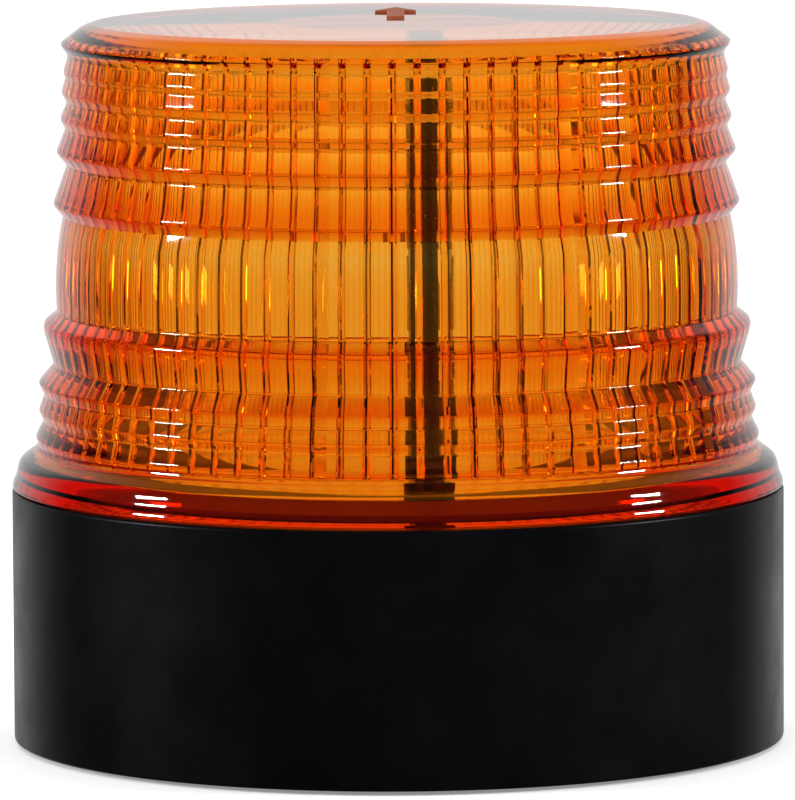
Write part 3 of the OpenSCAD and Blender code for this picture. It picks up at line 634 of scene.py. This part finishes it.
def make_power_mark(material):
    """The usual open ring with a stroke, printed on the power button."""
    lo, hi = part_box("power_button")
    centre = Vector(((lo.x + hi.x) / 2, hi.y, (lo.z + hi.z) / 2))
    ring_r, line_w = 1.7 * MM, 0.4 * MM
    raised, sunk = 0.06 * MM, 0.25 * MM
    stroke_low, stroke_high = 0.2 * MM, 2.1 * MM
    gap = math.radians(35)
    steps = 40
    weld = 0.001 * MM
    shape = bmesh.new()

    def corner(r, a, out):
        return shape.verts.new(centre + Vector((r * math.cos(a), out, r * math.sin(a))))

    sweep = 2 * math.pi - 2 * gap
    for i in range(steps):
        a0 = math.pi / 2 + gap + sweep * i / steps
        a1 = math.pi / 2 + gap + sweep * (i + 1) / steps
        corners = [(ring_r + s * line_w / 2, a) for a in (a0, a1) for s in (-1, 1)]
        low = [corner(r, a, -sunk) for r, a in corners]
        top = [corner(r, a, raised) for r, a in corners]
        shape.faces.new((top[0], top[1], top[3], top[2]))
        shape.faces.new((low[2], low[3], low[1], low[0]))
        shape.faces.new((low[0], low[2], top[2], top[0]))
        shape.faces.new((low[1], top[1], top[3], low[3]))
        if i == 0:
            shape.faces.new((low[0], top[0], top[1], low[1]))
        if i == steps - 1:
            shape.faces.new((low[2], low[3], top[3], top[2]))
    bmesh.ops.remove_doubles(shape, verts=shape.verts, dist=weld)
    box_part(
        shape,
        (centre.x - line_w / 2, centre.y - sunk, centre.z + stroke_low),
        (centre.x + line_w / 2, centre.y + raised, centre.z + stroke_high),
        0.02 * MM,
    )
    mark = object_from(shape, "power_mark", material)
    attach(mark, "power_button")


# --- Stage ----------------------------------------------------------------------------

def towards(turn_deg, rise_deg):
    """The direction that is turn_deg round from the front and rise_deg above level."""
    turn, rise = math.radians(turn_deg), math.radians(rise_deg)
    return Vector((math.sin(turn) * math.cos(rise), -math.cos(turn) * math.cos(rise), math.sin(rise)))


def softbox(name, side, energy):
    """A low soft light, placed where surfaces that face half left or right and slightly
    upwards mirror it to the front, so that only the rounded rims of the lens catch it."""
    reach, width = 1.1, 0.2
    facing = 39
    lowest, highest = 13.2, 16.5
    view_rise = 8.5
    view = towards(0, view_rise)

    def mirrored(rise):
        normal = towards(side * facing, rise)
        return 2 * view.dot(normal) * normal - view

    out = mirrored((lowest + highest) / 2)
    along = mirrored(highest) - mirrored(lowest)
    data = bpy.data.lights.new(name, "AREA")
    data.shape = "RECTANGLE"
    data.size = width
    data.size_y = reach * along.length
    data.energy = energy
    light = bpy.data.objects.new(name, data)
    y_axis = (along - along.dot(out) * out).normalized()
    x_axis = y_axis.cross(out)
    light.matrix_world = Matrix.Translation(MIDDLE + reach * out) @ Matrix(
        (x_axis, y_axis, out)
    ).transposed().to_4x4()
    light.visible_camera = False
    bpy.context.scene.collection.objects.link(light)


def make_world():
    """A white surround. Its mirror image on the object is white behind the object and dim
    in front of it, as in a studio with a white backdrop and a dark room."""
    seen = 1.05
    mirrored_in_front, mirrored_behind = 0.025, 0.8
    turns_at, turned_at = 0.45, 0.95
    world = bpy.data.worlds.new("white_studio")
    bpy.context.scene.world = world
    world.use_nodes = True
    nodes, links = world.node_tree.nodes, world.node_tree.links
    back = nodes["Background"]
    back.inputs["Color"].default_value = (1, 1, 1, 1)
    way = nodes.new("ShaderNodeSeparateXYZ")
    links.new(nodes.new("ShaderNodeTexCoord").outputs["Generated"], way.inputs["Vector"])
    mirrored = nodes.new("ShaderNodeMapRange")
    mirrored.interpolation_type = "SMOOTHSTEP"
    mirrored.inputs["From Min"].default_value = turns_at
    mirrored.inputs["From Max"].default_value = turned_at
    mirrored.inputs["To Min"].default_value = mirrored_in_front
    mirrored.inputs["To Max"].default_value = mirrored_behind
    links.new(way.outputs["Y"], mirrored.inputs["Value"])
    level = nodes.new("ShaderNodeMix")
    level.inputs["A"].default_value = seen
    path = nodes.new("ShaderNodeLightPath")
    off_surface = nodes.new("ShaderNodeMath")
    off_surface.operation = "SUBTRACT"
    off_surface.use_clamp = True
    links.new(path.outputs["Is Glossy Ray"], off_surface.inputs[0])
    links.new(path.outputs["Is Transmission Ray"], off_surface.inputs[1])
    links.new(off_surface.outputs["Value"], level.inputs["Factor"])
    links.new(mirrored.outputs["Result"], level.inputs["B"])
    links.new(level.outputs["Result"], back.inputs["Strength"])


def make_stage():
    """A pale floor and two softboxes."""
    s = Shader("pale_floor", (0.9, 0.9, 0.9), 0.7)
    s.vary((0.88, 0.88, 0.88), (0.92, 0.92, 0.92), 8)
    s.bump(s.noise(300), strength=0.05, distance=0.2 * MM)
    s.set("Emission Color", (1, 1, 1, 1))
    s.set("Emission Strength", 0.25)
    half, below = 9.0, 0.05 * MM
    floor = make_object(
        "floor",
        [(-half, -half, 0), (half, -half, 0), (half, half, 0), (-half, half, 0)],
        [(0, 1, 2, 3)],
        s.material,
    )
    floor.location.z = CAD_BOX[0].z - below
    floor.visible_glossy = False

    for name, side in (("softbox_left", -1), ("softbox_right", 1)):
        softbox(name, side, energy=7)
    bpy.context.scene.view_settings.view_transform = "Standard"


# --- Build ----------------------------------------------------------------------------

make_camera()
make_world()
make_stage()
amber = amber_plastic()
housing = black_housing()
make_lens(amber)
make_top_arrow(moulded("frosted_amber", (0.42, 0.1, 0.04), 0.6, specular=0.2))

finishes = {
    "black_housing": housing,
    "lens_amber": amber,
    "deck_reflector": deck_finish(),
    "seal_rubber": moulded("black_rubber", (0.016, 0.016, 0.016), 0.72, 900, 0.25),
    "screw_steel": metal("zinc_plate", (0.62, 0.63, 0.62), 0.28),
    "magnet_plating": metal("nickel_plate", (0.66, 0.64, 0.6), 0.16),
    "tray_plastic": moulded("black_nylon", (0.008, 0.008, 0.009), 0.45, 1500, 0.2),
    "cell_wrap": shrink_wrap(),
    "contact_metal": metal("spring_nickel", (0.7, 0.68, 0.63), 0.22, (0.2, 1, 1)),
    "board_laminate": circuit_board("green_laminate", (0.006, 0.1, 0.035), (0.03, 0.22, 0.07)),
    "component_black": moulded("black_epoxy", (0.014, 0.014, 0.015), 0.5, 2600),
    "capacitor_can": metal("capacitor_can", (0.72, 0.72, 0.74), 0.25, (1, 1, 0.1)),
    "connector_white": moulded("nylon_white", (0.78, 0.76, 0.68), 0.45),
    "button_red": moulded("red_plastic", (0.42, 0.016, 0.012), 0.38, 1600),
    "plunger_white": moulded("white_acetal", (0.8, 0.8, 0.78), 0.35),
    "light_pipe": clear_pipe(),
    "sink_anodised": metal("black_anodised", (0.018, 0.018, 0.02), 0.42, (1, 1, 0.12)),
    "led_board_mask": circuit_board("black_laminate", (0.008, 0.008, 0.009), (0.02, 0.02, 0.021)),
    "led_yellow": moulded("led_package", (0.85, 0.84, 0.78), 0.4),
    "lead_red": moulded("red_insulation", (0.45, 0.015, 0.012), 0.35, 700),
}
for part in frame["record"]["subparts"]:
    node = frame["nodes"][part["node"]]
    node.data.materials.clear()
    node.data.materials.append(finishes[part["material_slot"]])

phosphor = moulded("led_phosphor", (0.9, 0.78, 0.25), 0.25, 2200)
make_leds("leds_left", -1, finishes["led_yellow"], phosphor)
make_leds("leds_right", 1, finishes["led_yellow"], phosphor)
make_power_mark(finishes["plunger_white"])
for index in (1, 2, 3):
    make_cell(index, finishes["cell_wrap"], finishes["contact_metal"])
